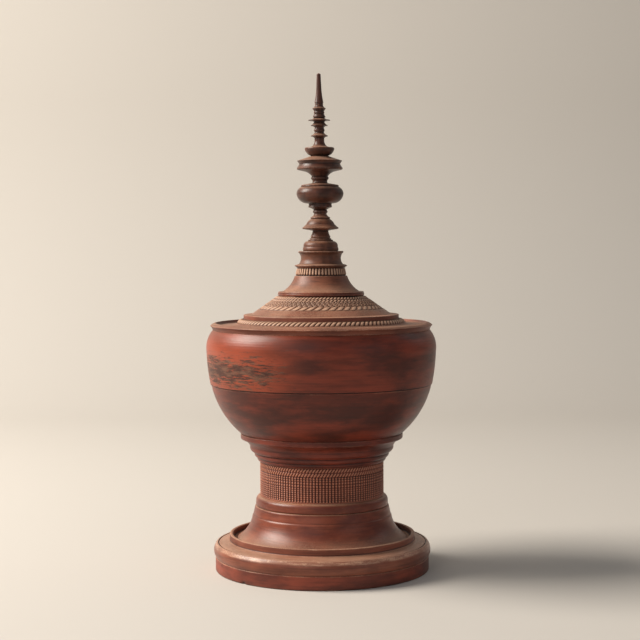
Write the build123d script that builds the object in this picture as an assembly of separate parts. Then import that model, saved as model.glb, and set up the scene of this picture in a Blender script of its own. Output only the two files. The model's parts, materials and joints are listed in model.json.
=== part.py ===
from build123d import *
from math import cos, sin, tau
import os

# A lidded offering vessel of turned and lacquered wood: a hollow stand, a round bowl with a loose
# tray in its mouth, a deep lid that lifts off, and a spire that pulls out of the lid.
# Millimetres, +Z up, origin at the middle of the face that the stand rests on.

# Fits and edges that many pieces share
pin_clearance = 0.1      # all round, where a spigot or the spindle sits in its bore
lid_clearance = 0.6      # all round, where the lid slides down over the bowl's hoop
seam_gap = 0.3           # under the lid's edge
arris = 0.8              # softened edges
quirk = 0.6              # the small step between two mouldings

# How far a run bows, as a share of its length: out of the wood, or into it when negative
soft = 0.08
rounded = 0.2
bulging = 0.21
eased = 0.13
hollow = -0.10
cove = -0.2

# Hollow stand
core_wall = 8.0
plinth_height = 16.5
plinth_wall = 34.0
plinth_arris = 1.4

nose_swell = 2.9
plinth_out = 1.0
moulding_height = 19.5
foot_bead_width = 4.4
foot_groove_width = 1.2
foot_groove_depth = 1.2
foot_slope_width = 11.6
foot_slope_fall = 2.6

rim_ring_radius = 112.5
rim_ring_height = 8.4
rim_ring_width = 4.0
rim_ring_floor_width = 8.5
rim_ring_floor_thickness = 1.6
rim_ring_flange = 1.5

waist_radius = 75.2
waist_wall = 8.4
flare_edge_height = 2.2
flare_height = 24.0
flare_out = 10.2
flare_shoulder_height = 5.6
flare_shoulder_in = 2.1
roll_height = 10.5
roll_in = 1.6
roll_top_in = 2.6

waist_ring_out = 5.0
waist_ring_band = 6.2
waist_ring_height = 12.0

sleeve_height = 42.1
sleeve_depth = 1.8
rib_count = 124
rib_depth = 1.1

neck_bead_heights = (4.0, 5.6, 7.4)
neck_bead_outs = (3.0, 3.4, 5.6)
neck_cove_height = 8.4
neck_cove_out = 9.4

# Bowl
collar_out = 1.8
collar_height = 6.4
collar_plate = 1.6
bowl_seat_in = 10.4
bowl_wall_at_foot = 8.0
bowl_floor = 8.0
bowl_height = 64.4
bowl_mouth_radius = 133.6
bowl_lip_width = 8.2
bowl_curve = 0.082
bowl_inner_curve = -0.09
hoop_width = 6.4
hoop_seat_depth = 10.0
hoop_rise = 7.0

# Loose tray
tray_thickness = 3.0
tray_depth = 30.0
tray_taper = 12.6
tray_corner_out = 6.5
tray_corner_rise = 4.4
tray_clearance = 2.4
tray_side_gap = 0.4
tray_rim_width = 4.4
tray_rim_height = 3.0

# Lid
lid_edge_out = 0.7
lid_wall_at_top = 7.5
lid_belly_out = 5.3
lid_belly_wall = 7.6
lid_belly_rise = 40.1
lid_shoulder_rise = 25.3
lid_shoulder_in = 7.5
lid_guide_rise = 14.0
lid_side_curve = 0.02
lid_shoulder_curve = 0.105

plate_edge_height = 5.3
plate_edge_out = 2.8
plate_crest_height = 8.5
plate_crest_in = 5.0
plate_crest_width = 1.4
plate_dish_in = 9.4
plate_dish_height = 5.3
plate_foot_height = 6.6
plate_boss_height = 12.9

step_out = 9.7
step_height = 6.1
rope_seat_height = 8.5
rope_setback = 1.1
rope_width = 7.2
rope_height = 5.0
rope_bead_count = 106
rope_bead_depth = 1.0
rope_foot_out = 5.1
# The ring's slope: share of its height, share of its width that is left there, turn of its lobes
rope_slope = ((0.0, 0.97, 0.0), (0.24, 1.0, 0.2), (0.62, 0.75, 0.5), (1.0, 0.2, 0.9))

cone_foot_radius = 84.4
cone_top_radius = 52.4
cone_height = 22.4
cone_plain_share = 0.28
cone_wall = 10.4
cone_roof = 7.0
relief_depth = 1.4
relief_count = 52
relief_cut = 0.8

cap_height = 4.7
cap_groove = 0.8
bell_spigot_radius = 14.0
bell_foot_in = 6.0
bell_top_radius = 31.8
bell_height = 18.2
bell_foot_height = 0.8
bell_curve = -0.09

petal_count = 48
petal_height = 9.5
petal_depth = 1.3
petal_lean = 2.0
petal_top_inset = 0.6

# Spire drum, the last fixed piece, which holds the spire's tenon
drum_disc_under = 1.9
drum_disc_height = 4.7
drum_waist_radius = 25.6
drum_height = 12.2
drum_curve = -0.16
drum_cap_radius = 27.4
drum_cap_height = 3.4
tenon_radius = 8.0
tenon_length = 28.0
spindle_radius = 3.0
spindle_top_margin = 34.0

# Shoulder dome
dome_radius = 21.6
dome_height = 11.8
dome_top_radius = 16.4
dome_ring_radii = (14.9, 12.8)
dome_ring_height = 1.9

# Parasol tier
parasol_stem_radius = 11.8
parasol_stem_height = 9.0
parasol_neck_radius = 9.5
parasol_brim_radius = 22.3
parasol_brim_drop = 3.4
parasol_brim_height = 4.0
parasol_crown_radius = 17.2
parasol_crown_height = 6.9
parasol_crown_top_radius = 11.0
parasol_ring_radius = 12.1
parasol_ring_height = 2.0
parasol_top_radius = 7.6
parasol_top_height = 3.7

# Bulb
bulb_bead_radius = 8.8
bulb_bead_height = 5.0
bulb_collar_radius = 14.8
bulb_collar_height = 8.0
bulb_radius = 28.4
bulb_lower_height = 11.4
bulb_upper_height = 8.6
bulb_cap_radius = 22.8
bulb_cap_height = 2.2
bulb_top_radius = 8.9
bulb_top_height = 4.2

# Spool
spool_ring_radius = 10.5
spool_ring_height = 5.6
spool_neck_radius = 9.6
spool_under_height = 6.4
spool_under_radius = 18.2
spool_radius = 27.8
spool_lip_in = 1.0
spool_lip_height = 3.9
spool_groove_depth = 3.0
spool_groove_height = 8.1
spool_top_height = 6.5
spool_top_radius = 10.2

# Cup
cup_foot_radius = 10.0
cup_radius = 18.3
cup_height = 8.0
cup_rim_height = 2.2
cup_top_height = 1.5
cup_top_radius = 9.1

# Stem with one disc
stem_radius = 5.9
stem_height = 6.1
stem_neck_height = 3.6
stem_disc_radius = 10.5
stem_disc_height = 6.9
stem_top_radius = 5.6
stem_top_height = 6.0

# Crown of discs and beads
crown_neck_radius = 6.5
crown_neck_height = 0.9
crown_lower_disc_radius = 10.4
crown_lower_disc_height = 5.9
crown_disc_radius = 13.7
crown_disc_height = 4.6
crown_ring_radius = 7.9
crown_ring_height = 4.6
crown_bead_height = 3.2
crown_knop_radius = 8.3
crown_knop_height = 7.4

# Needle
needle_foot_radius = 5.4
needle_foot_height = 3.0
needle_waist_radius = 3.1
needle_waist_height = 17.4
needle_tip_radius = 2.4
needle_length = 35.4
needle_curve = -0.02


def turned(*corners):
    """Solid turned about Z from a closed half section, listed anticlockwise as (radius, height).
    A third value bows the run that ends at that corner, as a share of the run's length."""
    edges = []
    for here, there in zip(corners, corners[1:] + corners[:1]):
        start = Vector(here[0], 0, here[1])
        end = Vector(there[0], 0, there[1])
        if len(there) == 3:
            run = end - start
            bow = Vector(run.Z, 0, -run.X) * there[2]
            edges.append(Edge.make_three_point_arc(start, (start + end) * 0.5 + bow, end))
        else:
            edges.append(Edge.make_line(start, end))
    return Solid.revolve(Face(Wire(edges)), 360, Axis.Z)


def stacked(foot, bore, *steps):
    """Turned piece standing on the height foot, bored to bore, and the height of its top.
    Each step is (rise, radius) or (rise, radius, bow)."""
    corners = [(bore, foot)]
    height = foot
    for rise, *shape in steps:
        height += rise
        corners.append((shape[0], height, *shape[1:]))
    corners.append((bore, height))
    return turned(*corners), height


def fluted(count, *rings):
    """Solid whose outline has count crests, ruled from ring to ring.
    Each ring is (height, valley radius, crest radius, turn as a share of one crest)."""
    wires = []
    for height, valley, crest, turn in rings:
        points = []
        for index in range(count):
            for share, radius in ((0.0, valley), (0.3, crest), (0.7, crest)):
                angle = tau * (index + share + turn) / count
                points.append(Vector(radius * cos(angle), radius * sin(angle), height))
        wires.append(Wire.make_polygon(points, close=True))
    return Solid.make_loft(wires, ruled=True)


def bored(solid, radius, foot, top):
    """The solid with a round hole of the given radius from foot to top."""
    hole = Solid.make_cylinder(radius, top - foot, Plane.XY.offset(foot))
    return solid.cut(hole).solid()


# Radii that follow from the sizes above, from the middle of the stand outwards and upwards
core_radius = waist_radius - sleeve_depth - waist_wall
slope_in = rim_ring_radius + rim_ring_flange
slope_out = slope_in + foot_slope_width
bead_out = slope_out + foot_groove_width + foot_bead_width / 2
plinth_radius = bead_out + plinth_out
plinth_hollow_radius = plinth_radius - plinth_wall
collar_radius = waist_radius + sum(neck_bead_outs) + neck_cove_out + collar_out
bowl_foot_radius = collar_radius - bowl_seat_in
bowl_inner_foot_radius = bowl_foot_radius - bowl_wall_at_foot
hoop_radius = bowl_mouth_radius - bowl_lip_width
hoop_inner = hoop_radius - hoop_width
tray_mouth_radius = hoop_inner - tray_clearance
tray_floor_radius = tray_mouth_radius - tray_taper
lid_bore = hoop_radius + lid_clearance
lid_belly_radius = bowl_mouth_radius + lid_belly_out
lid_shoulder_radius = lid_belly_radius - lid_shoulder_in
lid_hole_radius = cone_foot_radius - cone_wall
step_radius = cone_foot_radius + step_out
bell_foot_radius = cone_top_radius - bell_foot_in
spigot_bore = bell_spigot_radius + pin_clearance
tenon_bore = tenon_radius + pin_clearance
spindle_bore = spindle_radius + pin_clearance

# Heights of the joints between pieces, from the floor up
moulding_foot = plinth_height
moulding_top = moulding_foot + moulding_height
flare_top = moulding_top + flare_edge_height + flare_height
roll_foot = flare_top + flare_shoulder_height
skirt_top = roll_foot + roll_height
ring_top = skirt_top + waist_ring_height
sleeve_top = ring_top + sleeve_height
neck_top = sleeve_top + sum(neck_bead_heights) + len(neck_bead_heights) * quirk + neck_cove_height
collar_top = neck_top + collar_height
bowl_foot = neck_top + collar_plate
seam = bowl_foot + bowl_height
hoop_foot = seam - hoop_seat_depth
hoop_top = seam + hoop_rise
lid_foot = seam + seam_gap
belly_level = lid_foot + lid_belly_rise
plate_foot = belly_level + lid_shoulder_rise
rope_foot = plate_foot + rope_seat_height
step_foot = plate_foot + plate_boss_height
cone_foot = step_foot + step_height
cone_top = cone_foot + cone_height
cone_ceiling = cone_top - cone_roof
bell_foot = cone_top + cap_height
petal_foot = bell_foot + bell_foot_height + bell_height
drum_foot = petal_foot + petal_height
spire_foot = drum_foot + drum_disc_height + drum_height + drum_cap_height


def foot_plinth():
    radius = plinth_radius
    return turned(
        (plinth_hollow_radius, 0), (radius - plinth_arris, 0), (radius, plinth_arris, rounded),
        (radius, moulding_foot - arris), (radius - arris, moulding_foot, rounded),
        (plinth_hollow_radius, moulding_foot))


def foot_moulding():
    slope_foot = moulding_top - foot_slope_fall
    groove_out = slope_out + foot_groove_width
    nose_curve = nose_swell / (slope_foot - arris - moulding_foot)
    return turned(
        (core_radius, moulding_foot), (plinth_radius - arris, moulding_foot),
        (bead_out, slope_foot - arris, nose_curve), (groove_out, slope_foot, rounded),
        (groove_out, slope_foot - foot_groove_depth), (slope_out, slope_foot - foot_groove_depth),
        (slope_out, slope_foot), (slope_in, moulding_top), (core_radius, moulding_top))


def foot_rim_ring():
    inner = rim_ring_radius - rim_ring_width
    floor_in = rim_ring_radius - rim_ring_floor_width
    floor_top = moulding_top + rim_ring_floor_thickness
    top = moulding_top + rim_ring_height
    middle = (rim_ring_radius + inner) / 2
    return turned(
        (floor_in, moulding_top), (slope_in, moulding_top),
        (rim_ring_radius, moulding_top + rim_ring_flange, cove), (rim_ring_radius, top - arris),
        (middle, top, eased / 2), (inner, top - arris, eased / 2), (inner, floor_top + arris),
        (inner - arris, floor_top, cove), (floor_in, floor_top))


def waist_skirt():
    flare_edge = rim_ring_radius - rim_ring_floor_width
    flare_neck = waist_radius + flare_out
    shoulder = flare_neck - flare_shoulder_in
    roll_top = shoulder - roll_in
    return turned(
        (core_radius, moulding_top), (flare_edge, moulding_top),
        (flare_edge, moulding_top + flare_edge_height), (flare_neck, flare_top, cove / 2),
        (flare_neck - arris, roll_foot - arris * 2), (shoulder, roll_foot - quirk, rounded),
        (shoulder, roll_foot), (shoulder + quirk / 2, roll_foot + quirk),
        (roll_top, skirt_top - roll_top_in), (roll_top - arris, skirt_top - quirk / 2, rounded),
        (roll_top - arris, skirt_top), (core_radius, skirt_top))


def waist_ring():
    edge = waist_radius + waist_ring_out
    return turned(
        (core_radius, skirt_top), (edge, skirt_top), (edge, skirt_top + waist_ring_band, soft / 2),
        (waist_radius, ring_top, rounded), (core_radius, ring_top))


def waist_drum():
    face = waist_radius - sleeve_depth
    return turned(
        (core_radius, ring_top), (face, ring_top), (face, sleeve_top), (core_radius, sleeve_top))


def rib_sleeve():
    valley = waist_radius - rib_depth
    sleeve = fluted(
        rib_count, (ring_top, valley, waist_radius, 0), (sleeve_top, valley, waist_radius, 0))
    return bored(sleeve, waist_radius - sleeve_depth, ring_top, sleeve_top)


def neck_moulding():
    corners = [(core_radius, sleeve_top), (waist_radius, sleeve_top)]
    radius = waist_radius
    height = sleeve_top
    for rise, out in zip(neck_bead_heights, neck_bead_outs):
        corners.append((radius + quirk, height))
        radius += out
        height += rise
        corners.append((radius, height, rounded))
        height += quirk
        corners.append((radius, height))
    corners.append((radius + neck_cove_out, neck_top, hollow))
    corners.append((core_radius, neck_top))
    return turned(*corners)


def bowl_collar():
    seat_radius = collar_radius - arris
    return turned(
        (core_radius, neck_top), (collar_radius - 2 * arris, neck_top),
        (collar_radius, neck_top + 2 * arris, rounded), (collar_radius, collar_top - arris),
        (seat_radius, collar_top, rounded), (bowl_foot_radius, bowl_foot), (core_radius, bowl_foot))


def stand_core():
    inner = core_radius - core_wall
    return turned(
        (inner, moulding_foot), (core_radius, moulding_foot), (core_radius, bowl_foot), (inner, bowl_foot))


def bowl():
    return turned(
        (0, bowl_foot), (bowl_foot_radius, bowl_foot), (collar_radius - arris, collar_top),
        (bowl_mouth_radius, seam, bowl_curve), (hoop_radius, seam), (hoop_radius, hoop_foot),
        (hoop_inner, hoop_foot),
        (bowl_inner_foot_radius, bowl_foot + bowl_floor, bowl_inner_curve),
        (0, bowl_foot + bowl_floor))


def bowl_hoop():
    return turned(
        (hoop_inner, hoop_foot), (hoop_radius, hoop_foot), (hoop_radius, hoop_top - arris),
        (hoop_radius - arris, hoop_top, rounded), (hoop_inner, hoop_top))


def tray_dish():
    flange = hoop_radius - tray_side_gap
    bottom = hoop_top - tray_depth
    wall = tray_thickness
    return turned(
        (0, bottom), (tray_floor_radius, bottom),
        (tray_floor_radius + tray_corner_out, bottom + tray_corner_rise, rounded),
        (tray_mouth_radius, hoop_top), (flange, hoop_top), (flange, hoop_top + wall),
        (tray_mouth_radius - wall, hoop_top + wall),
        (tray_floor_radius + tray_corner_out - wall, bottom + tray_corner_rise + wall),
        (tray_floor_radius - wall, bottom + wall, -rounded), (0, bottom + wall))


def tray_rim():
    outer = hoop_radius - tray_side_gap
    inner = outer - tray_rim_width
    foot = hoop_top + tray_thickness
    edge = foot + tray_rim_height / 2
    return turned(
        (inner, foot), (outer, foot), (outer, edge), (inner, edge, rounded))


def lid_drum():
    inner_belly = lid_belly_radius - lid_belly_wall
    guide_top = lid_foot + lid_guide_rise
    return turned(
        (lid_bore, lid_foot), (bowl_mouth_radius + lid_edge_out, lid_foot),
        (lid_belly_radius, belly_level, lid_side_curve),
        (lid_shoulder_radius, plate_foot, lid_shoulder_curve),
        (lid_shoulder_radius - lid_wall_at_top, plate_foot),
        (inner_belly, belly_level, -lid_shoulder_curve), (lid_bore, guide_top, -lid_side_curve))


def lid_plate():
    edge = lid_shoulder_radius + plate_edge_out
    crest = plate_foot + plate_crest_height
    crest_out = edge - plate_crest_in
    seat_in = step_radius + rope_setback
    seat_out = seat_in + rope_width
    return turned(
        (lid_hole_radius, plate_foot), (lid_shoulder_radius, plate_foot),
        (edge, plate_foot + plate_edge_height, hollow),
        (edge - arris / 2, plate_foot + plate_edge_height + arris, rounded),
        (crest_out, crest, soft), (crest_out - plate_crest_width, crest, rounded),
        (edge - plate_dish_in, plate_foot + plate_dish_height, hollow),
        (seat_out + rope_foot_out, plate_foot + plate_foot_height), (seat_out, rope_foot, hollow),
        (seat_in, rope_foot), (seat_in, step_foot), (lid_hole_radius, step_foot))


def rope_ring():
    inner = step_radius + rope_setback
    rings = []
    for rise, left, turn in rope_slope:
        crest = inner + rope_width * left
        valley = crest - rope_bead_depth * (1 + left) / 2
        rings.append((rope_foot + rope_height * rise, valley, crest, turn))
    return bored(fluted(rope_bead_count, *rings), inner, rope_foot, rope_foot + rope_height)


def lid_step():
    top = cone_foot - quirk
    return turned(
        (lid_hole_radius, step_foot), (step_radius - arris, step_foot),
        (step_radius, step_foot + arris, rounded), (step_radius, top - arris),
        (step_radius - arris, top, rounded), (cone_foot_radius, cone_foot), (lid_hole_radius, cone_foot))


def cone_radius(share):
    """Outer radius of the lid's cone at a share of its height."""
    return cone_foot_radius + (cone_top_radius - cone_foot_radius) * share


def lid_cone():
    relief_foot = cone_foot + cone_height * cone_plain_share
    band = cone_radius(cone_plain_share)
    ceiling_radius = cone_radius(1 - cone_roof / cone_height) - cone_wall
    return turned(
        (lid_hole_radius, cone_foot), (cone_foot_radius, cone_foot), (band, relief_foot),
        (band - relief_depth, relief_foot), (cone_top_radius - relief_depth, cone_top),
        (spigot_bore, cone_top), (spigot_bore, cone_ceiling), (ceiling_radius, cone_ceiling))


def cone_relief():
    foot = cone_foot + cone_height * cone_plain_share
    band = cone_radius(cone_plain_share)
    carved = fluted(
        relief_count, (foot, band - relief_cut, band, 0),
        (cone_top, cone_top_radius - relief_cut, cone_top_radius, 1.5))
    core = Solid.make_cone(
        band - relief_depth, cone_top_radius - relief_depth, cone_top - foot, Plane.XY.offset(foot))
    return carved.cut(core).solid()


def cone_cap():
    groove = (cone_top + bell_foot) / 2
    return turned(
        (spigot_bore, cone_top), (cone_top_radius - arris, cone_top),
        (cone_top_radius, cone_top + arris, rounded), (cone_top_radius, groove),
        (cone_top_radius - cap_groove, groove + cap_groove / 2),
        (cone_top_radius - arris / 2, groove + cap_groove), (cone_top_radius - arris / 2, bell_foot - arris),
        (cone_top_radius - 2 * arris, bell_foot, eased), (spigot_bore, bell_foot))


def bell_tier():
    return turned(
        (0, cone_ceiling), (bell_spigot_radius, cone_ceiling), (bell_spigot_radius, bell_foot),
        (bell_foot_radius, bell_foot), (bell_foot_radius - bell_foot_height, bell_foot + bell_foot_height),
        (bell_top_radius, petal_foot, bell_curve), (0, petal_foot))


def petal_band():
    crest = bell_top_radius
    tip = petal_foot + petal_height
    middle = petal_foot + petal_height / 2
    band = fluted(
        petal_count, (petal_foot, crest - petal_depth, crest - petal_top_inset, 0),
        (middle, crest - petal_lean / 2 - petal_depth, crest - petal_lean / 2 + petal_top_inset, 0),
        (tip, crest - petal_lean - petal_depth, crest - petal_lean - petal_top_inset, 0))
    return bored(band, tenon_bore, petal_foot, tip)


def spire_drum():
    piece, _ = stacked(
        drum_foot, tenon_bore,
        (0, bell_top_radius - petal_lean - petal_top_inset),
        (drum_disc_under, bell_top_radius - arris / 2, hollow),
        (arris, bell_top_radius, rounded), (arris, bell_top_radius - arris, rounded),
        (drum_disc_height - drum_disc_under - 2 * arris, drum_waist_radius + 2 * quirk),
        (drum_height, drum_waist_radius, drum_curve),
        (drum_cap_height / 2, drum_cap_radius), (drum_cap_height / 2, drum_cap_radius - arris, rounded))
    return piece


def shoulder_dome(foot):
    steps = [
        (0, dome_radius - quirk), (2 * quirk, dome_radius), (dome_height / 3, dome_radius - arris, soft),
        (dome_height * 2 / 3 - 2 * quirk, dome_top_radius, rounded)]
    for radius in dome_ring_radii:
        steps += [(quirk / 2, radius), (dome_ring_height - quirk / 2, radius - quirk / 2, rounded)]
    return stacked(foot, spindle_bore, *steps)


def parasol_tier(foot):
    return stacked(
        foot, spindle_bore,
        (0, parasol_stem_radius - arris), (parasol_stem_height / 4, parasol_stem_radius, rounded),
        (parasol_stem_height * 3 / 4, parasol_neck_radius, hollow / 2),
        (parasol_brim_drop * 0.6, parasol_brim_radius - arris),
        (parasol_brim_drop * 0.4, parasol_brim_radius),
        (parasol_brim_height, parasol_crown_radius + quirk, hollow / 2),
        (0, parasol_crown_radius), (parasol_crown_height, parasol_crown_top_radius, rounded / 2),
        (0, parasol_ring_radius - quirk), (parasol_ring_height, parasol_ring_radius - quirk, rounded),
        (parasol_top_height, parasol_top_radius, hollow))


def spire_bulb(foot):
    neck = bulb_bead_radius - 2 * quirk
    return stacked(
        foot, spindle_bore,
        (0, parasol_top_radius), (bulb_bead_height * 0.4, bulb_bead_radius, hollow),
        (bulb_bead_height * 0.6, neck, rounded),
        (bulb_collar_height * 0.4, bulb_collar_radius - quirk, hollow / 2),
        (bulb_collar_height * 0.1, bulb_collar_radius - quirk, rounded),
        (bulb_collar_height * 0.5, bulb_collar_radius - arris, hollow / 2),
        (bulb_lower_height, bulb_radius, bulging),
        (bulb_upper_height, bulb_cap_radius - quirk, bulging * 0.75),
        (0, bulb_cap_radius - quirk / 2), (quirk, bulb_cap_radius),
        (bulb_cap_height - quirk, bulb_cap_radius - 2 * quirk, rounded),
        (bulb_top_height / 2, bulb_top_radius + arris), (bulb_top_height / 2, bulb_top_radius, hollow))


def spool_tier(foot):
    rim = spool_radius - quirk
    return stacked(
        foot, spindle_bore,
        (0, bulb_top_radius), (spool_ring_height * 0.5, spool_ring_radius, hollow),
        (spool_ring_height * 0.5, spool_neck_radius, rounded),
        (spool_under_height, spool_under_radius, cove / 2),
        (spool_lip_height / 2, spool_radius - spool_lip_in), (spool_lip_height / 2, spool_radius, eased),
        (spool_groove_height * 0.6, spool_radius - spool_groove_depth, hollow / 2),
        (spool_groove_height * 0.4, rim - arris / 2, hollow / 2), (arris, rim, rounded),
        (spool_top_height - arris, spool_top_radius))


def cup_tier(foot):
    return stacked(
        foot, spindle_bore,
        (0, cup_foot_radius), (cup_height, cup_radius - arris / 2, eased),
        (cup_rim_height, cup_radius - 2 * arris, rounded), (cup_top_height, cup_top_radius, hollow / 2))


def pointed_disc(radius, top_radius, height):
    """Steps of a thin disc with a hollow underside and a longer hollow slope on top."""
    return [
        (height * 0.3, radius - quirk, hollow), (height * 0.15, radius - quirk / 2, rounded),
        (height * 0.55, top_radius, hollow)]


def stem_tier(foot):
    return stacked(
        foot, spindle_bore,
        (0, cup_top_radius), (stem_height, stem_radius, hollow), (stem_neck_height, stem_radius),
        *pointed_disc(stem_disc_radius, stem_top_radius, stem_disc_height),
        (stem_top_height / 6, stem_top_radius + quirk / 2),
        (stem_top_height / 2, stem_top_radius + quirk / 2, rounded), (stem_top_height / 3, stem_top_radius))


def crown_tier(foot):
    neck = crown_neck_radius
    return stacked(
        foot, spindle_bore,
        (0, stem_top_radius), *pointed_disc(crown_lower_disc_radius, neck, crown_lower_disc_height),
        (crown_neck_height, neck), *pointed_disc(crown_disc_radius, neck, crown_disc_height),
        (crown_ring_height * 0.2, crown_ring_radius - quirk / 2, hollow),
        (crown_ring_height * 0.15, crown_ring_radius - quirk / 2, rounded),
        (crown_ring_height * 0.5, neck, hollow / 2), (crown_ring_height * 0.15, neck - arris),
        (crown_bead_height, neck - quirk, rounded),
        (crown_knop_height * 0.35, crown_knop_radius - quirk, hollow / 2),
        (crown_knop_height * 0.15, crown_knop_radius - quirk / 2, rounded),
        (crown_knop_height * 0.5, needle_foot_radius - quirk, hollow))


def spire_needle(foot, spindle_top):
    taper_foot = foot + needle_foot_height
    top = taper_foot + needle_length
    point = needle_tip_radius / 2
    return turned(
        (spindle_bore, foot), (needle_foot_radius - quirk, foot),
        (needle_foot_radius - quirk, taper_foot - quirk, soft), (needle_foot_radius, taper_foot),
        (needle_waist_radius, taper_foot + needle_waist_height, needle_curve),
        (needle_tip_radius, top - needle_tip_radius), (point, top - point / 3, rounded), (0, top),
        (0, spindle_top + pin_clearance), (spindle_bore, spindle_top + pin_clearance))


def finial_spindle(spindle_top):
    return turned(
        (0, spire_foot - tenon_length), (tenon_radius, spire_foot - tenon_length),
        (tenon_radius, spire_foot), (spindle_radius, spire_foot),
        (spindle_radius, spindle_top), (0, spindle_top))


def spire_tiers():
    """The turned tiers threaded on the spindle, each standing on the one below."""
    tiers = {}
    height = spire_foot
    for make in (shoulder_dome, parasol_tier, spire_bulb, spool_tier, cup_tier, stem_tier, crown_tier):
        tiers[make.__name__], height = make(height)
    spindle_top = height + needle_foot_height + needle_length - spindle_top_margin
    tiers["spire_needle"] = spire_needle(height, spindle_top)
    tiers["finial_spindle"] = finial_spindle(spindle_top)
    return tiers


pieces = {make.__name__: make() for make in (
    foot_plinth, foot_moulding, foot_rim_ring, waist_skirt, waist_ring, waist_drum, rib_sleeve,
    neck_moulding, bowl_collar, stand_core, bowl, bowl_hoop, tray_dish, tray_rim, lid_drum, lid_plate,
    rope_ring, lid_step, lid_cone, cone_relief, cone_cap, bell_tier, petal_band, spire_drum)}
pieces.update(spire_tiers())

os.makedirs("parts", exist_ok=True)
for name, piece in pieces.items():
    piece.label = name
    export_step(piece, f"parts/{name}.step")
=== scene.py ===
import json
import math
from types import SimpleNamespace
import bmesh
import bpy
import numpy as np
from mathutils import Matrix, Vector


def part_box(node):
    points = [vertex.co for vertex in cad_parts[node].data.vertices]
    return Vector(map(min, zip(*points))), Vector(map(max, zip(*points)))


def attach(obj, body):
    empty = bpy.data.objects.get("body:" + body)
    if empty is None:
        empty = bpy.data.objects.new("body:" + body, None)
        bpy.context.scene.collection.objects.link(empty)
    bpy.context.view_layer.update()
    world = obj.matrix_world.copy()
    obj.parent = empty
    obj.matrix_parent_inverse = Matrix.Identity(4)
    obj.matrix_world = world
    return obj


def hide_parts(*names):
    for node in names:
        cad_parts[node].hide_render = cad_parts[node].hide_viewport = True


# A lacquered offering vessel. Every turned piece is cut again from its node's own half section,
# with softened edges and the small unevenness of hand turning. The four carved rings are height
# fields laid on their node's outer face. Lengths are in metres.

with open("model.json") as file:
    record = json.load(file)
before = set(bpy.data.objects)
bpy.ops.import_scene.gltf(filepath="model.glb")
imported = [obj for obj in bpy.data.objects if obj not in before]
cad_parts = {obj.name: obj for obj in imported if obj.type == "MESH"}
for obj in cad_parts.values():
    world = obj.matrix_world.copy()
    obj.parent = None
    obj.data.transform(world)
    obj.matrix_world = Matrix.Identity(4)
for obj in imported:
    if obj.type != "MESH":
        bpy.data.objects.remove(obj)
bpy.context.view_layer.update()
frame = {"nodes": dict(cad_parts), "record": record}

MM = 0.001
TURN = 2 * math.pi

# Photograph's view. Angles are in degrees
picture_width = 640
focal_pixels = 1507.3
camera_distance = 1826.2 * MM
camera_height = 392.4 * MM
camera_pitch = 2.815
camera_roll = -0.27
camera_yaw = 0.045
sensor_width = 36.0

# Reading the frame: where the half section is cut, and what counts as one point or as on the axis
cut_bearing = 0.0101
merge_gap = 2e-6
same_point = 8e-6
axis_gap = 1e-6
end_band = 0.2 * MM

# Softened corners: their radius, the share of a run that one may take, and the turn that needs one
fillet = 0.45 * MM
spire_fillet = 0.9 * MM
corner_share = 0.42
corner_steps = (0.0, 0.25, 0.5, 0.75, 1.0)
sharp_turn = math.radians(24)

# Mesh of a turned piece: its longest run, the short run at a run's ends, and its segments
longest_run = 3.0 * MM
support = 0.5 * MM
segments_per_mm = 3.2
fewest_segments = 96
most_segments = 400

# Rolls worn round: spacing of their points, and how far the wear blurs them
worn_round = ("waist_skirt", "waist_ring")
roll_spacing = 0.5 * MM
roll_blur = 1.3 * MM

# Unevenness of hand turning, at a radius of round_radius, and how far an edge's wear reaches
out_of_round = 0.10 * MM
round_radius = 0.13
edge_reach = 0.9 * MM
full_edge = 1.2

# The spire stands a little out of plumb
spire_lean = math.radians(0.4)

# A flake broken out of the plinth
chip_bearing = math.radians(-135)
chip_height = 1.2 * MM
chip_width = 7.0 * MM
chip_rise = 2.4 * MM
chip_depth = 1.6 * MM
chip_reach = 4 * MM

# The dark line where the lid meets the bowl
seam_sides = ("bowl", "lid_drum")
seam_line = 0.7 * MM

# Carved bands: how many times each row repeats round the band, and how deep it is cut
rib_turns = 124
rope_turns = 106
petal_turns = 48
rib_cut = 1.25 * MM
rope_cut = 1.3 * MM
rope_swell = 0.9 * MM
petal_cut = 1.3 * MM
cone_cut = 1.0 * MM

# Level grooves across the ribs, wider apart in the upper part of the sleeve
groove_pitch = 2.5 * MM
upper_groove_pitch = 3.4 * MM
upper_grooves_from = 17 * MM

# The point that every lamp faces
lamp_target = Vector((0, 0, 0.28))


def srgb(red, green, blue):
    """Linear colour from a colour written in 0 to 255."""
    def linear(value):
        value /= 255
        return value / 12.92 if value <= 0.04045 else ((value + 0.055) / 1.055) ** 2.4
    return (linear(red), linear(green), linear(blue), 1.0)


# Shapes read from the frame

def body_of(node):
    """The name of the body that a node moves with."""
    bodies = frame["record"]["behaviour"]["bodies"]
    return next(name for name, members in bodies.items() if node in members)


def ring_ends(node):
    """Height, inner radius and outer radius of a ring node, at its foot and at its top."""
    points = np.array([vertex.co for vertex in frame["nodes"][node].data.vertices])
    radius = np.hypot(points[:, 0], points[:, 1])
    ends = []
    for level in (points[:, 2].min(), points[:, 2].max()):
        near = radius[np.abs(points[:, 2] - level) < end_band]
        ends.append((level, near.min(), near.max()))
    return ends


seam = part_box("lid_drum")[0][2]
sleeve_rise = ring_ends("rib_sleeve")[1][0] - ring_ends("rib_sleeve")[0][0]
spire_foot = min(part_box(node)[0][2] for node in frame["nodes"] if body_of(node) == "spire")


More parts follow.
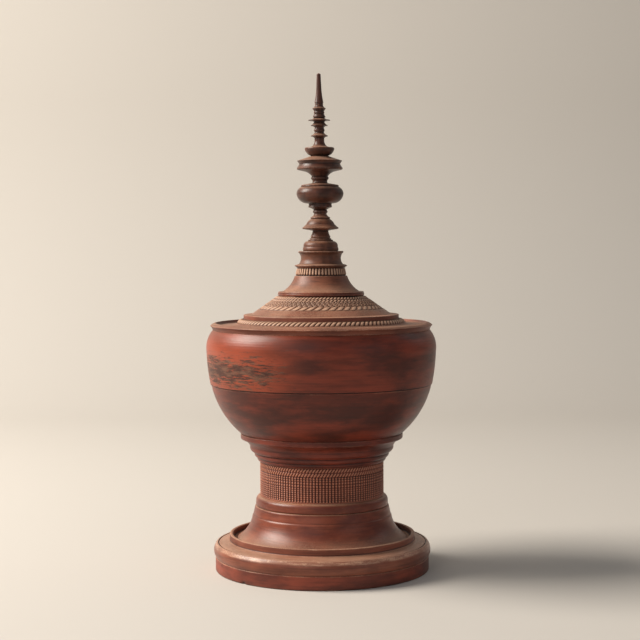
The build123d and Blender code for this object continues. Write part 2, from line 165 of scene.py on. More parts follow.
def half_section(node):
    """The closed half section of a turned node, anticlockwise, as rows of (radius, height)."""
    mesh = bmesh.new()
    mesh.from_mesh(frame["nodes"][node].data)
    bmesh.ops.remove_doubles(mesh, verts=mesh.verts, dist=merge_gap)
    along = Vector((math.cos(cut_bearing), math.sin(cut_bearing), 0))
    across = Vector((-along.y, along.x, 0))
    geometry = mesh.verts[:] + mesh.edges[:] + mesh.faces[:]
    cut = bmesh.ops.bisect_plane(
        mesh, geom=geometry, dist=1e-9, plane_co=(0, 0, 0), plane_no=across)["geom_cut"]
    links = {}
    on_axis = {}
    for edge in (e for e in cut if isinstance(e, bmesh.types.BMEdge)):
        first, second = sorted(edge.verts, key=lambda v: v.co.dot(along))
        near, far = first.co.dot(along), second.co.dot(along)
        if near > -axis_gap:
            links.setdefault(first, []).append(second)
            links.setdefault(second, []).append(first)
        elif far > axis_gap:
            on_axis[second] = first.co.z + (second.co.z - first.co.z) * near / (near - far)
    path = chained(links)
    points = [(max(v.co.dot(along), 0), v.co.z) for v in path]
    if path[0] in on_axis:
        points.insert(0, (0.0, on_axis[path[0]]))
    if path[-1] in on_axis:
        points.append((0.0, on_axis[path[-1]]))
    points = np.array(points)
    mesh.free()
    points = without_straights(points)
    forward = np.roll(points, -1, axis=0)
    area = (points[:, 0] * forward[:, 1] - forward[:, 0] * points[:, 1]).sum()
    return points if area > 0 else points[::-1]


def chained(links):
    """The linked points in order, from a loose end where there is one."""
    ends = [point for point, others in links.items() if len(others) == 1]
    path = [ends[0] if ends else next(iter(links))]
    seen = set(path)
    while True:
        onward = [point for point in links[path[-1]] if point not in seen]
        if not onward:
            return path
        path.append(onward[0])
        seen.add(onward[0])


def without_straights(points, least_turn=0.004):
    """The closed outline without repeated points and points that lie on a straight run."""
    kept = [points[0]]
    for point in points[1:]:
        if np.linalg.norm(point - kept[-1]) > same_point:
            kept.append(point)
    if np.linalg.norm(kept[0] - kept[-1]) < same_point:
        kept.pop()
    points = np.array(kept)
    turns = np.abs(turning(points))
    return points[turns > least_turn]


def turning(points):
    """Signed turn at each point of a closed outline, positive where it is convex."""
    before = points - np.roll(points, 1, axis=0)
    after = np.roll(points, -1, axis=0) - points
    cross = before[:, 0] * after[:, 1] - before[:, 1] * after[:, 0]
    dot = (before * after).sum(axis=1)
    return np.arctan2(cross, dot)


def softened(points, radius):
    """The closed outline with each sharp corner rounded, and long runs divided."""
    turns = turning(points)
    count = len(points)
    out = []
    for index in range(count):
        here = points[index]
        before = points[index - 1] - here
        after = points[(index + 1) % count] - here
        reach_before = np.linalg.norm(before)
        reach_after = np.linalg.norm(after)
        if abs(turns[index]) < sharp_turn or here[0] < axis_gap:
            out.append(here)
            continue
        reach = min(radius, reach_before * corner_share, reach_after * corner_share)
        start = here + before / reach_before * reach
        end = here + after / reach_after * reach
        for share in corner_steps:
            out.append((1 - share) ** 2 * start + 2 * share * (1 - share) * here + share ** 2 * end)
    return divided(np.array(out))


def divided(points):
    """The outline with long runs divided, and a short run beside each of their ends."""
    out = []
    count = len(points)
    for index in range(count):
        start = points[index]
        end = points[(index + 1) % count]
        length = np.linalg.norm(end - start)
        out.append(start)
        if length < 3 * support or (start[0] < axis_gap and end[0] < axis_gap):
            continue
        inner = max(1, math.ceil((length - 2 * support) / longest_run))
        for distance in np.linspace(support, length - support, inner + 1):
            out.append(start + (end - start) * distance / length)
    return np.array(out)


def rolled(points):
    """The closed outline with its lips and grooves worn round."""
    closed = np.vstack([points, points[:1]])
    place = np.concatenate([[0], np.cumsum(np.linalg.norm(np.diff(closed, axis=0), axis=1))])
    count = int(place[-1] / roll_spacing)
    even = np.arange(count) * place[-1] / count
    path = np.stack([np.interp(even, place, closed[:, axis]) for axis in (0, 1)], axis=1)
    gap = np.abs(even[:, None] - even[None, :])
    gap = np.minimum(gap, place[-1] - gap)
    weight = np.exp(-(gap / roll_blur) ** 2)
    return weight @ path / weight.sum(axis=1, keepdims=True)


def edge_shares(points):
    """How sharply a closed outline turns near each point, from -1 in a groove to 1 on an edge."""
    turns = turning(points)
    steps = np.linalg.norm(np.roll(points, -1, axis=0) - points, axis=1)
    place = np.concatenate([[0], np.cumsum(steps)[:-1]])
    total = steps.sum()
    gap = np.abs(place[:, None] - place[None, :])
    gap = np.minimum(gap, total - gap)
    weight = np.exp(-(gap / edge_reach) ** 2)
    return np.clip((weight @ turns) / full_edge, -1, 1)


# Meshes

def new_object(name, vertices, faces, node, attributes):
    """A smooth mesh that stands for a CAD node. faces is a list, or an array of equal faces."""
    mesh = bpy.data.meshes.new(name)
    vertices = np.asarray(vertices, np.float32)
    mesh.vertices.add(len(vertices))
    mesh.vertices.foreach_set("co", vertices.ravel())
    if isinstance(faces, list):
        sizes = np.array([len(face) for face in faces], np.int32)
        corners = np.array([corner for face in faces for corner in face], np.int32)
    else:
        corners = np.asarray(faces, np.int32)
        sizes = np.full(len(corners), corners.shape[1], np.int32)
        corners = corners.ravel()
    mesh.loops.add(len(corners))
    mesh.loops.foreach_set("vertex_index", corners)
    mesh.polygons.add(len(sizes))
    starts = np.concatenate([[0], np.cumsum(sizes)[:-1]]).astype(np.int32)
    mesh.polygons.foreach_set("loop_start", starts)
    mesh.update(calc_edges=True)
    mesh.validate()
    mesh.shade_smooth()
    for key, values in attributes.items():
        layer = mesh.attributes.new(key, "FLOAT", "POINT")
        layer.data.foreach_set("value", np.asarray(values, np.float32).ravel())
    piece = bpy.data.objects.new(name, mesh)
    bpy.context.scene.collection.objects.link(piece)
    dress(piece, node)
    return piece


def dress(piece, node):
    """Puts the piece in the place of a CAD node: its body and its material."""
    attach(piece, body_of(node))
    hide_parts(node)
    piece.data.materials.append(finishes[node])


def turned_piece(node, radius):
    """Cuts a node again as a fine turned mesh, with how rubbed (rub) and how dark (cut) it is. Rub is
    negative in grooves, where it gives painted shade.
    """
    outline = softened(half_section(node), radius)
    if node in worn_round:
        outline = rolled(outline)
    widest = outline[:, 0].max()
    segments = int(np.clip(round(widest / MM * segments_per_mm), fewest_segments, most_segments))
    angles = np.arange(segments) * TURN / segments
    radii = outline[:, 0][:, None] * np.ones(segments)[None, :]
    wobble = wobble_of(node, angles, widest)
    radii = np.where(radii > axis_gap, radii + wobble[None, :] * (radii / widest), 0)
    vertices, faces = spun(outline, radii, angles)
    marks = np.concatenate([
        [share] if point[0] < axis_gap else np.full(segments, share)
        for point, share in zip(outline, edge_shares(outline))])
    vertices = leaning(vertices, node)
    dark = np.zeros(len(vertices))
    if node in seam_sides:
        dark = np.exp(-((vertices[:, 2] - seam) / seam_line) ** 2)
        marks = marks * (1 - dark)
    if node == "foot_plinth":
        dark = chipped(vertices)
    return new_object(node + "_turned", vertices, faces, node, {"rub": marks, "cut": dark})


def wobble_of(node, angles, widest):
    """How far out of round a node's widest circle is at each angle."""
    phase = sum(ord(letter) for letter in node)
    waves = (np.cos(2 * angles + phase) + 0.6 * np.cos(3 * angles + 2.1 * phase)
             + 0.35 * np.cos(5 * angles + 0.7 * phase))
    return waves * out_of_round * widest / round_radius


def spun(outline, radii, angles):
    """Vertices and faces of an outline carried round the axis, with one vertex for a point on it."""
    segments = len(angles)
    on_axis = outline[:, 0] < axis_gap
    vertices = []
    rows = []
    for index, (_, height) in enumerate(outline):
        if on_axis[index]:
            rows.append([len(vertices)] * segments)
            vertices.append((0.0, 0.0, height))
            continue
        rows.append(range(len(vertices), len(vertices) + segments))
        level = np.full(segments, height)
        vertices += list(zip(radii[index] * np.cos(angles), radii[index] * np.sin(angles), level))
    faces = []
    for index in range(len(outline)):
        following = (index + 1) % len(outline)
        if on_axis[index] and on_axis[following]:
            continue
        low, high = rows[index], rows[following]
        for step in range(segments):
            across = (step + 1) % segments
            if on_axis[index]:
                faces.append((low[step], high[across], high[step]))
            elif on_axis[following]:
                faces.append((low[step], low[across], high[step]))
            else:
                faces.append((low[step], low[across], high[across], high[step]))
    return vertices, faces


def chipped(vertices):
    """Breaks a small flake out of the plinth's lower edge, and says how dark each point is there."""
    bearing = np.arctan2(vertices[:, 1], vertices[:, 0])
    radius = np.hypot(vertices[:, 0], vertices[:, 1])
    beside = radius * ((bearing - chip_bearing + math.pi) % TURN - math.pi)
    away = np.hypot(beside / (chip_width / 2), (vertices[:, 2] - chip_height) / chip_rise)
    share = np.clip(1.2 - away, 0, 1)
    share = np.where(radius > radius.max() - chip_reach, share, 0)
    vertices[:, :2] *= (1 - share * chip_depth / np.maximum(radius, MM))[:, None]
    return share


def leaning(vertices, node):
    """The spire's points, moved sideways with their height above its foot."""
    vertices = np.array(vertices)
    if body_of(node) == "spire":
        rise = np.maximum(vertices[:, 2] - spire_foot, 0)
        vertices[:, 0] -= rise * math.tan(spire_lean)
    return vertices


# Carved bands

def dashes(turns, share, slant):
    """A row of slanted beads: turns counts beads round the band, share goes up the row."""
    across = (turns - slant * share) % 1.0 - 0.5
    body = np.sqrt(np.clip(1 - (2.15 * across) ** 2, 0, 1))
    ends = 1 - 0.65 * np.abs(2 * share - 1) ** 5
    return body * ends


def pellets(turns, share):
    """A row of round beads."""
    across = (turns % 1.0 - 0.5) * 2.2
    along = (share - 0.5) * 2.2
    return np.sqrt(np.clip(1 - across ** 2 - along ** 2, 0, 1))


def scales(turns, share):
    """A row of round-ended scales with a raised rim and a stroke inside."""
    across = (turns % 1.0 - 0.5) * 2
    reach = np.hypot(across * 0.9, 1.0 - share)
    rim = np.exp(-((reach - 0.86) / 0.13) ** 2)
    heart = np.exp(-((reach - 0.30) / 0.17) ** 2)
    return np.clip(rim + 0.85 * heart, 0, 1)


def rows_of(share, turns, rows):
    """Carving made of rows. A row is (from, to, count round the band, shift, form)."""
    field = np.zeros(np.broadcast(share, turns).shape)
    for start, end, count, shift, form in rows:
        local = (share - start) / (end - start)
        inside = (local >= 0) & (local <= 1)
        field = np.where(inside, form(turns * count + shift, np.clip(local, 0, 1)), field)
    return field


def rib_field(share, turns):
    """Upright ribs cut by level grooves, under a row of pellets and two rows of dashes."""
    height = share * sleeve_rise
    ribs = np.abs((turns * rib_turns) % 1.0 - 0.5) * 2
    ribs = np.clip(np.cos(math.pi * ribs / 2) * 1.25 - 0.12, 0, 1) ** 0.8
    pitch = np.where(height > upper_grooves_from, upper_groove_pitch, groove_pitch)
    groove = np.exp(-((((height / pitch) % 1.0) - 0.5) / 0.17) ** 2)
    ribs = ribs * (1 - 0.6 * groove)
    bands = rows_of(share, turns, (
        (0.738, 0.860, rib_turns, 0.0, lambda t, s: dashes(t, s, 0.9)),
        (0.860, 0.982, rib_turns, 0.4, lambda t, s: dashes(t, s, 0.9)),
        (0.665, 0.738, rib_turns, 0.0, pellets)))
    field = np.where(share > 0.662, bands, ribs)
    plain_end = (share < 0.028) | (share > 0.985)
    return np.where(plain_end, 0.8, field)


def cone_field(share, turns):
    """A row of dashes, two rows of scales, and two rows of smaller dashes."""
    return rows_of(share, turns, (
        (0.03, 0.30, 51, 0.0, lambda t, s: dashes(t, s, 0.75)),
        (0.30, 0.47, 66, 0.0, scales),
        (0.47, 0.64, 66, 0.5, scales),
        (0.64, 0.78, 80, 0.2, lambda t, s: dashes(t, s, 0.7)),
        (0.79, 0.97, 80, 0.0, lambda t, s: dashes(t, s, 0.8))))


def rope_field(share, turns):
    """One row of slanted beads."""
    return dashes(turns * rope_turns, share, 0.85)


def petal_field(share, turns):
    """Upright tongues with rounded feet."""
    across = ((turns * petal_turns) % 1.0 - 0.5) * 2
    tongue = np.sqrt(np.clip(1 - (across / 0.86) ** 2, 0, 1))
    foot = np.clip((share - 0.08 - 0.20 * (1 - tongue)) / 0.16, 0, 1)
    head = np.clip((1 - share) / 0.08, 0, 1)
    return tongue * foot ** 0.5 * head ** 0.5


def carved_ring(node, field, columns, rows, cut, bulge=0.0):
    """A ring with a carved outer face. field(share, turns) is 1 on the crests and 0 at the ground.
    The mesh says how deep each point lies (cut) and how high (crest)."""
    (foot, foot_inner, foot_outer), (top, top_inner, top_outer) = ring_ends(node)
    share = np.linspace(0, 1, rows)[:, None]
    turns = np.linspace(0, 1, columns, endpoint=False)[None, :]
    height = field(share, turns)
    along = np.array([top_outer - foot_outer, top - foot])
    outward = np.array([along[1], -along[0]]) / np.linalg.norm(along)
    raised = bulge * np.sin(math.pi * share) - cut * (1 - height)
    radius = foot_outer + along[0] * share + outward[0] * raised
    level = np.clip(foot + along[1] * share + outward[1] * raised, foot, top)
    radius = np.concatenate([np.full((1, columns), foot_inner), radius, np.full((1, columns), top_inner)])
    level = np.concatenate([np.full((1, columns), foot), level, np.full((1, columns), top)])
    angle = turns * TURN
    vertices = np.stack([radius * np.cos(angle), radius * np.sin(angle), level], axis=-1).reshape(-1, 3)
    low = np.arange(rows + 2)[:, None] * columns + np.arange(columns)[None, :]
    beside = np.roll(low, -1, axis=1)
    above = np.roll(low, -1, axis=0)
    faces = np.stack([low, beside, np.roll(beside, -1, axis=0), above], axis=-1).reshape(-1, 4)
    # ground says how deep a point lies in the carving; the lacquer darkens it as painted shade.
    ground = np.concatenate([np.zeros((1, columns)), 1 - height, np.zeros((1, columns))])
    crest = np.concatenate([np.zeros((1, columns)), height ** 3, np.zeros((1, columns))])
    return new_object(node + "_carved", leaning(vertices, node), faces, node,
                      {"cut": ground, "crest": crest})


# Materials

class Finish:
    """A node material under construction."""

    def __init__(self, name):
        self.material = bpy.data.materials.new(name)
        self.material.use_nodes = True
        self.tree = self.material.node_tree
        self.tree.nodes.clear()

    def add(self, kind, inputs=None, **settings):
        """Adds a node. An input is a constant, or the output socket that feeds it."""
        node = self.tree.nodes.new("ShaderNode" + kind)
        for key, value in settings.items():
            setattr(node, key, value)
        for key, value in (inputs or {}).items():
            socket = node.inputs[key]
            if isinstance(value, bpy.types.NodeSocket):
                self.tree.links.new(value, socket)
            else:
                socket.default_value = value
        return node

    def math(self, operation, *values, clamp=False):
        return self.add("Math", dict(enumerate(values)), operation=operation, use_clamp=clamp).outputs[0]

    def ramp(self, value, low, high, to_low=0.0, to_high=1.0):
        """Maps low..high to 0..1 smoothly, or to the two values given."""
        return self.add("MapRange", {
            "Value": value, "From Min": low, "From Max": high, "To Min": to_low, "To Max": to_high},
            interpolation_type="SMOOTHSTEP").outputs["Result"]

    def mix(self, share, first, second):
        node = self.add("Mix", {0: share}, data_type="RGBA")
        for index, value in ((6, first), (7, second)):
            if isinstance(value, bpy.types.NodeSocket):
                self.tree.links.new(value, node.inputs[index])
            else:
                node.inputs[index].default_value = value
        return node.outputs[2]

    def noise(self, vector, scale, detail, rough, four=None):
        """Noise in three dimensions, or in four where a fourth coordinate is given."""
        inputs = {"Vector": vector, "Scale": scale, "Detail": detail, "Roughness": rough}
        if four is None:
            return self.add("TexNoise", inputs, noise_dimensions="3D").outputs["Fac"]
        inputs["W"] = four
        return self.add("TexNoise", inputs, noise_dimensions="4D").outputs["Fac"]

    def finished(self, shader):
        """The material, with this shader as its surface."""
        output = self.add("OutputMaterial")
        self.tree.links.new(shader.outputs[0], output.inputs[0])
        return self.material


def grain_of(f):
    """The noises that every lacquer is mixed from, and where a point lies round the axis."""
    place = f.add("TexCoord").outputs["Object"]
    x, y, z = f.add("SeparateXYZ", {0: place}).outputs
    radius = f.math("SQRT", f.math("ADD", f.math("MULTIPLY", x, x), f.math("MULTIPLY", y, y)))
    safe = f.math("MAXIMUM", radius, 0.001)
    cosine = f.math("DIVIDE", x, safe)
    sine = f.math("DIVIDE", y, safe)

    def turned(fine, along, shift, detail, rough):
        """Noise that changes fast across the turning lines and slowly along them."""
        vector = f.add("CombineXYZ", {
            0: f.math("MULTIPLY_ADD", radius, fine, shift), 1: f.math("MULTIPLY", z, fine),
            2: f.math("MULTIPLY", cosine, along)}).outputs[0]
        return f.noise(vector, 1.0, detail, rough, f.math("MULTIPLY", sine, along))

    return SimpleNamespace(
        z=z, cosine=cosine, sine=sine, turned=turned,
        fine_lines=turned(420.0, 2.2, 0.0, 4.0, 0.62),
        broad_lines=turned(95.0, 1.6, 7.0, 3.0, 0.5),
        streaks=turned(230.0, 7.0, 3.0, 6.0, 0.68),
        bands=turned(44.0, 1.9, 17.0, 4.0, 0.6),
        clouds=f.noise(place, 16.0, 4.0, 0.6),
        specks=f.noise(place, 620.0, 3.0, 0.6))


def coats(f, grain, coat, deep, under, worn, lines):
    """Cloudy coats with turning lines, worn through in places. Gives the colour and the wear."""
    colour = f.mix(f.ramp(grain.bands, 0.38, 0.64), coat, deep)
    colour = f.mix(f.math("MULTIPLY", f.ramp(grain.broad_lines, 0.46, 0.66), 0.6), colour, deep)
    colour = f.mix(f.math("MULTIPLY", f.ramp(grain.fine_lines, 0.48, 0.70), 0.42 * lines), colour, under)
    wear = f.math("ADD", f.math("MULTIPLY", grain.clouds, 0.35), f.math("MULTIPLY", grain.streaks, 0.65))
    level = 0.64 - 0.16 * worn
    worn_mask = f.ramp(wear, level, level + 0.07)
    return f.mix(f.math("MULTIPLY", worn_mask, 0.7), colour, under), worn_mask


def worn_patch_and_lit_side(f, grain, worn_and_lit_patch, colour, worn_mask):
    """Adds a place worn in streaks, with painted light round it: brighter lacquer on that side, as if lit
    there.
    """
    angle, height, spread, rise = worn_and_lit_patch
    facing = f.math("ADD", f.math("MULTIPLY", grain.cosine, math.cos(angle)),
                    f.math("MULTIPLY", grain.sine, math.sin(angle)))
    away = f.math("ABSOLUTE", f.math("SUBTRACT", grain.z, height))
    beside = f.ramp(facing, math.cos(spread), 1.0)
    near = f.math("MULTIPLY", beside, f.ramp(away, rise, 0.0))
    painted_light_share = f.math("MULTIPLY", beside, f.ramp(away, 2.4 * rise, 0.0))
    brushed = grain.turned(520.0, 9.0, 11.0, 5.0, 0.72)
    # Painted light: the lacquer round the worn place is made brighter, as if lit from that side.
    painted_lit_colour = f.mix(f.math("MULTIPLY", painted_light_share, 0.5), colour, patch_painted_light)
    grey = f.mix(f.ramp(grain.streaks, 0.44, 0.60), patch_dark, patch_grey)
    torn = f.math("ADD", f.math("MULTIPLY", near, 0.27),
                  f.math("MULTIPLY_ADD", grain.clouds, 0.16, brushed))
    torn = f.ramp(torn, 0.71, 0.81)
    colour = f.mix(f.math("MULTIPLY", torn, 0.9), painted_lit_colour, grey)
    return colour, f.math("MAXIMUM", worn_mask, torn)


def pale_wear_and_highlight(f, grain, skin_and_highlight, colour):
    """Adds a ragged band, paler from wear and from a painted highlight, that starts at a height and fades
    above it.
    """
    height, wear_and_highlight_colour = skin_and_highlight
    ragged = f.math("MULTIPLY_ADD", f.math("SUBTRACT", grain.specks, 0.5), 0.004,
                    f.math("MULTIPLY", f.math("SUBTRACT", grain.clouds, 0.5), 0.003))
    level = f.math("ADD", grain.z, ragged)
    above = f.math("MULTIPLY", f.ramp(level, height - 0.0014, height + 0.0012),
                   f.ramp(level, height + 0.0050, height + 0.0020, 0.35, 1.0))
    mottled = f.math("ADD", f.math("MULTIPLY", grain.specks, 0.5), grain.streaks)
    mottled = f.ramp(mottled, 0.60, 0.84, 1.0, 0.25)
    return f.mix(f.math("MULTIPLY", above, f.math("MULTIPLY", mottled, 0.8)), colour, wear_and_highlight_colour)


def dusted(f, grain, shade, dust, dusty, colour):
    """Adds dust on what faces up and in corners. Gives the colour and the film of dust."""
    normal = f.add("NewGeometry").outputs["Normal"]
    up = f.add("SeparateXYZ", {0: normal}).outputs[2]
    lying = f.math("MULTIPLY", f.ramp(up, 0.45, 1.0), dusty)
    corners = f.math("MULTIPLY", f.ramp(shade, 0.75, 0.25), dusty * 0.25)
    film = f.math("ADD", lying, corners, clamp=True)
    broken = f.ramp(f.math("ADD", grain.clouds, grain.specks), 0.75, 1.15, 0.35, 1.0)
    film = f.math("MULTIPLY", film, broken)
    return f.mix(film, colour, dust), film


def shade_and_wear_marks(f, grain, shade, rubbed, rub, gap, crested, colour):
    """Paints shade into crevices, grooves and carved hollows, darkens the seam and the chip, and rubs edges
    and carved crests pale.
    """
    # Painted shade: darker in crevices, where ambient occlusion is low.
    ao_painted_shade = f.ramp(shade, 0.62, 0.18)
    colour = f.mix(f.math("MULTIPLY", ao_painted_shade, 0.75), colour, gap)
    # Painted shade in carved hollows, from their depth; on turned pieces the same attribute marks the lid's
    # seam and the plinth's chip.
    carved = f.add("Attribute", attribute_name="cut").outputs["Fac"]
    colour = f.mix(f.math("MULTIPLY", f.ramp(carved, 0.25, 0.9), 0.92), colour, gap)
    edge = f.add("Attribute", attribute_name="rub").outputs["Fac"]
    patchy = f.math("ADD", grain.streaks, f.math("MULTIPLY", grain.specks, 0.4))
    pale = f.math("MULTIPLY", f.ramp(edge, 0.30, 1.0), f.ramp(patchy, 0.62, 0.88, 0.05, 1.0))
    colour = f.mix(f.math("MULTIPLY", pale, rub), colour, rubbed)
    # Painted shade in grooves, where the outline turns concave.
    colour = f.mix(f.ramp(edge, -0.15, -0.7, 0.0, 0.75), colour, gap)
    crest = f.add("Attribute", attribute_name="crest").outputs["Fac"]
    return f.mix(f.math("MULTIPLY", f.ramp(crest, 0.2, 0.9), crested), colour, rubbed)


def lacquer(name, coat, deep, under, dust, rubbed, worn=0.1, dusty=0.5, rub=0.3, rough=0.38,
            lines=1.0, worn_and_lit_patch=None, skin_and_highlight=None, crested=0.6):
    """Old hand-turned lacquer: cloudy coats, turning lines, wear to the undercoat, dust where it
    can lie, edges rubbed pale, and painted shade in crevices, grooves and carved hollows. patch is
    (angle, height, spread, rise) of a place worn in streaks with painted light round it. skin is
    (height, colour) of a band worn paler that also carries a painted highlight."""
    f = Finish(name)
    grain = grain_of(f)
    colour, worn_mask = coats(f, grain, coat, deep, under, worn, lines)
    if worn_and_lit_patch:
        colour, worn_mask = worn_patch_and_lit_side(f, grain, worn_and_lit_patch, colour, worn_mask)
    if skin_and_highlight:
        colour = pale_wear_and_highlight(f, grain, skin_and_highlight, colour)
    # Ambient occlusion: it drives the painted shade in crevices and the dust in corners.
    shade = f.add("AmbientOcclusion", {"Distance": 0.014}, samples=6).outputs["AO"]
    colour, film = dusted(f, grain, shade, dust, dusty, colour)
    colour = shade_and_wear_marks(f, grain, shade, rubbed, rub, shade_seam_chip_dark, crested, colour)

    roughness = f.math("ADD", f.math("MULTIPLY", film, 0.25),
                       f.math("MULTIPLY_ADD", grain.streaks, 0.16, rough - 0.08))
    roughness = f.math("MULTIPLY_ADD", worn_mask, 0.12, roughness, clamp=True)
    broad = f.math("MULTIPLY", grain.broad_lines, 0.8 * lines)
    relief = f.math("ADD", f.math("MULTIPLY", grain.fine_lines, 0.5 * lines),
                    f.math("ADD", f.math("MULTIPLY", grain.specks, 0.18), broad))
    relief = f.math("MULTIPLY_ADD", worn_mask, -0.25, relief)
    bump = f.add("Bump", {"Height": relief, "Strength": 0.35, "Distance": 0.0006})
    return f.finished(f.add("BsdfPrincipled", {
        "Base Color": colour, "Roughness": roughness, "Normal": bump.outputs[0],
        "Specular IOR Level": 0.3}))


# Dark of the painted shade in crevices, grooves and carved hollows, and of the lid's seam and the chip.
shade_seam_chip_dark = srgb(30, 14, 10)
# Colour of the painted light round the lid's worn place.
patch_painted_light = srgb(172, 78, 46)
patch_dark = srgb(48, 30, 24)
patch_grey = srgb(98, 70, 55)
dark_wood = srgb(46, 28, 22)
old_dust = srgb(180, 142, 116)
pale_rub = srgb(214, 168, 140)
# The lid's red is worn in streaks on its left, with painted light round the wear.
red = lacquer("red_lacquer", srgb(124, 52, 35), srgb(76, 33, 24), dark_wood, srgb(166, 114, 88), pale_rub,
              dusty=0.3, worn_and_lit_patch=(math.radians(212), 0.248, 0.95, 0.036))
bowl_red = lacquer("bowl_red", srgb(120, 50, 34), srgb(72, 31, 23), dark_wood, srgb(160, 108, 84), pale_rub,
                   worn=0.0, dusty=0.3)
neck_red = lacquer("neck_lacquer", srgb(118, 50, 35), srgb(82, 34, 25), dark_wood, srgb(164, 114, 90),
                   pale_rub, dusty=0.35, rub=0.15)
waist = lacquer("waist_lacquer", srgb(128, 66, 47), srgb(98, 46, 33), srgb(58, 32, 25), old_dust, pale_rub,
                dusty=0.6, rough=0.34, rub=0.12)
ribs = lacquer("rib_lacquer", srgb(138, 70, 50), srgb(116, 55, 39), srgb(60, 34, 27), old_dust,
               srgb(186, 130, 104), dusty=0.3, rough=0.46, lines=0.4)
carving = lacquer("carved_lacquer", srgb(142, 98, 76), srgb(118, 78, 60), srgb(66, 42, 33), old_dust,
                  srgb(196, 160, 134), dusty=0.4, rough=0.5, lines=0.3, crested=0.75)
plate = lacquer("plate_lacquer", srgb(122, 66, 48), srgb(92, 48, 36), srgb(58, 34, 27), old_dust, pale_rub,
                worn=0.2, dusty=0.5, rough=0.44)
dusty = lacquer("dusty_lacquer", srgb(136, 76, 57), srgb(106, 57, 42), srgb(62, 38, 30), old_dust, pale_rub,
                worn=0.15, dusty=0.65, rough=0.46)
# The moulding's pale band along the nose's top is partly wear and partly a painted highlight.
moulding = lacquer("moulding_lacquer", srgb(138, 80, 60), srgb(106, 58, 44), srgb(60, 36, 28), old_dust,
                   pale_rub, worn=0.15, dusty=0.45, rough=0.32, skin_and_highlight=(0.0295, srgb(202, 160, 134)))
plinth = lacquer("plinth_lacquer", srgb(136, 64, 46), srgb(88, 42, 32), srgb(50, 29, 23), old_dust,
                 pale_rub, worn=0.35, dusty=0.5, rough=0.46, lines=0.7)
bell = lacquer("bell_lacquer", srgb(134, 82, 61), srgb(108, 64, 47), srgb(64, 40, 31), old_dust, pale_rub,
               dusty=0.55, rough=0.44, lines=1.3)
spire_dark = lacquer("dark_lacquer", srgb(88, 50, 37), srgb(56, 32, 25), srgb(28, 18, 15),
                     srgb(164, 126, 104), srgb(180, 138, 116), dusty=0.7, rub=0.25, rough=0.36)
spire_brown = lacquer("brown_lacquer", srgb(108, 66, 48), srgb(78, 46, 34), srgb(38, 25, 20),
                      srgb(170, 130, 106), srgb(190, 148, 122), dusty=0.65, rub=0.25, rough=0.42)
black = lacquer("black_lacquer", srgb(44, 30, 27), srgb(30, 20, 19), srgb(20, 14, 13), srgb(110, 84, 72),
                srgb(112, 66, 50), worn=0.0, dusty=0.25, rough=0.3)
bare = lacquer("bare_wood", srgb(140, 104, 76), srgb(112, 80, 56), srgb(70, 48, 34), srgb(160, 130, 104),
               srgb(176, 142, 110), worn=0.1, dusty=0.3, rough=0.6, lines=1.5)

finish_of_slot = {
    "red_lacquer": red, "waist_lacquer": waist, "relief_lacquer": waist, "dusty_lacquer": dusty,
    "dark_lacquer": spire_dark, "black_lacquer": black, "bare_wood": bare}
finishes = {row["node"]: finish_of_slot[row["material_slot"]] for row in frame["record"]["subparts"]}
finishes.update({
    "bowl": bowl_red, "bowl_collar": neck_red, "neck_moulding": neck_red, "rib_sleeve": ribs,
    "rope_ring": carving, "cone_relief": carving, "petal_band": carving, "foot_moulding": moulding,
    "foot_plinth": plinth, "bell_tier": bell, "spire_drum": spire_brown, "shoulder_dome": spire_brown,
    "parasol_tier": spire_brown, "lid_plate": plate})

# A carved ring's form, the columns and rows of its mesh, its depth and its swell
reliefs = {
    "rib_sleeve": (rib_field, rib_turns * 12, 110, rib_cut),
    "rope_ring": (rope_field, rope_turns * 12, 16, rope_cut, rope_swell),
    "cone_relief": (cone_field, 1320, 72, cone_cut),
    "petal_band": (petal_field, petal_turns * 16, 30, petal_cut)}
for node in frame["nodes"]:
    if node in reliefs:
        carved_ring(node, *reliefs[node])
    else:
        turned_piece(node, spire_fillet if body_of(node) == "spire" else fillet)


# Camera

def set_camera():
    """The camera stands in front of the vessel and looks a little down."""
    data = bpy.data.cameras.new("view")
    data.sensor_width = sensor_width
    data.lens = sensor_width * focal_pixels / picture_width
    data.clip_start = 0.05
    data.clip_end = 30
    camera = bpy.data.objects.new("view", data)
    aim = (Matrix.Rotation(math.radians(camera_yaw), 4, "Z")
           @ Matrix.Rotation(math.radians(90 - camera_pitch), 4, "X")
           @ Matrix.Rotation(math.radians(camera_roll), 4, "Z"))
    camera.matrix_world = Matrix.Translation((0, -camera_distance, camera_height)) @ aim
    bpy.context.scene.collection.objects.link(camera)
    bpy.context.scene.camera = camera


# Floor, backdrop and light

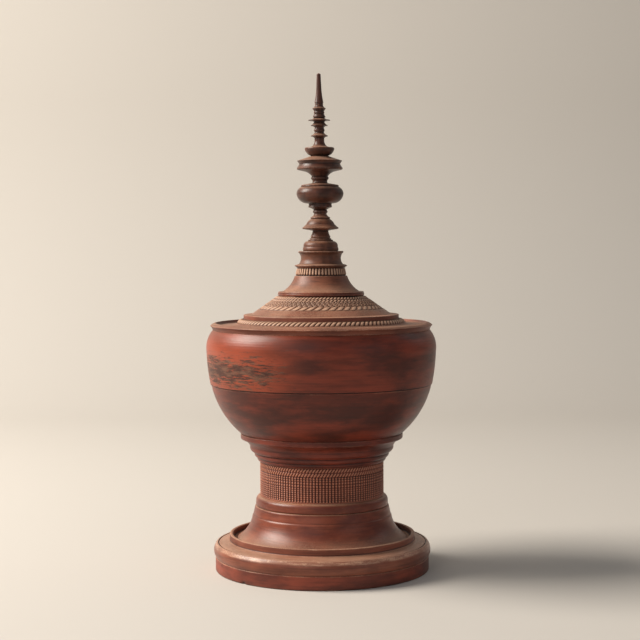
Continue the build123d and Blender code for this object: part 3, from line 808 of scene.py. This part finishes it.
def plain(name, colour):
    """A matt material of one colour."""
    f = Finish(name)
    return f.finished(f.add("BsdfPrincipled", {
        "Base Color": colour, "Roughness": 0.9, "Specular IOR Level": 0.2}))


def sweep():
    """A pale floor that curves up into a backdrop behind the vessel."""
    half_width, front, back, bend, height = 8.0, -8.0, 2.4, 0.8, 4.5
    bend_steps = 12
    line = [(front, 0.0), (back - bend, 0.0)]
    for step in range(1, bend_steps + 1):
        angle = step / bend_steps * math.pi / 2
        line.append((back - bend + bend * math.sin(angle), bend - bend * math.cos(angle)))
    line.append((back, height))
    vertices = [(side * half_width, y, z) for y, z in line for side in (-1, 1)]
    faces = [(2 * i, 2 * i + 1, 2 * i + 3, 2 * i + 2) for i in range(len(line) - 1)]
    mesh = bpy.data.meshes.new("backdrop")
    mesh.from_pydata(vertices, [], faces)
    mesh.shade_smooth()
    stage = bpy.data.objects.new("backdrop", mesh)
    bpy.context.scene.collection.objects.link(stage)
    stage.data.materials.append(plain("pale_floor", srgb(196, 191, 184)))


def softbox(name, place, size, power, colour=(1.0, 1.0, 1.0)):
    """A rectangular lamp that faces the vessel."""
    data = bpy.data.lights.new(name, "AREA")
    data.shape = "RECTANGLE"
    data.size, data.size_y = size
    data.energy = power
    data.color = colour
    lamp = bpy.data.objects.new(name, data)
    lamp.location = place
    lamp.rotation_euler = (lamp_target - Vector(place)).to_track_quat("-Z", "Y").to_euler()
    bpy.context.scene.collection.objects.link(lamp)


def lights():
    """One large warm lamp from the left, three faint ones, and a pale sky."""
    softbox("key", (-2.7, 0.05, 2.3), (1.9, 1.8), 225, (1.0, 0.93, 0.84))
    softbox("front", (-0.9, -2.0, 1.1), (1.8, 1.8), 7)
    softbox("fill", (1.7, -1.6, 0.8), (1.6, 1.6), 3)
    softbox("rim", (1.5, 0.7, 1.1), (0.3, 1.0), 1)
    world = bpy.data.worlds.new("studio")
    bpy.context.scene.world = world
    world.use_nodes = True
    background = world.node_tree.nodes["Background"]
    background.inputs[0].default_value = (0.92, 0.95, 1.0, 1)
    background.inputs[1].default_value = 0.20


set_camera()
sweep()
lights()

bpy.context.scene.view_settings.view_transform = "Standard"
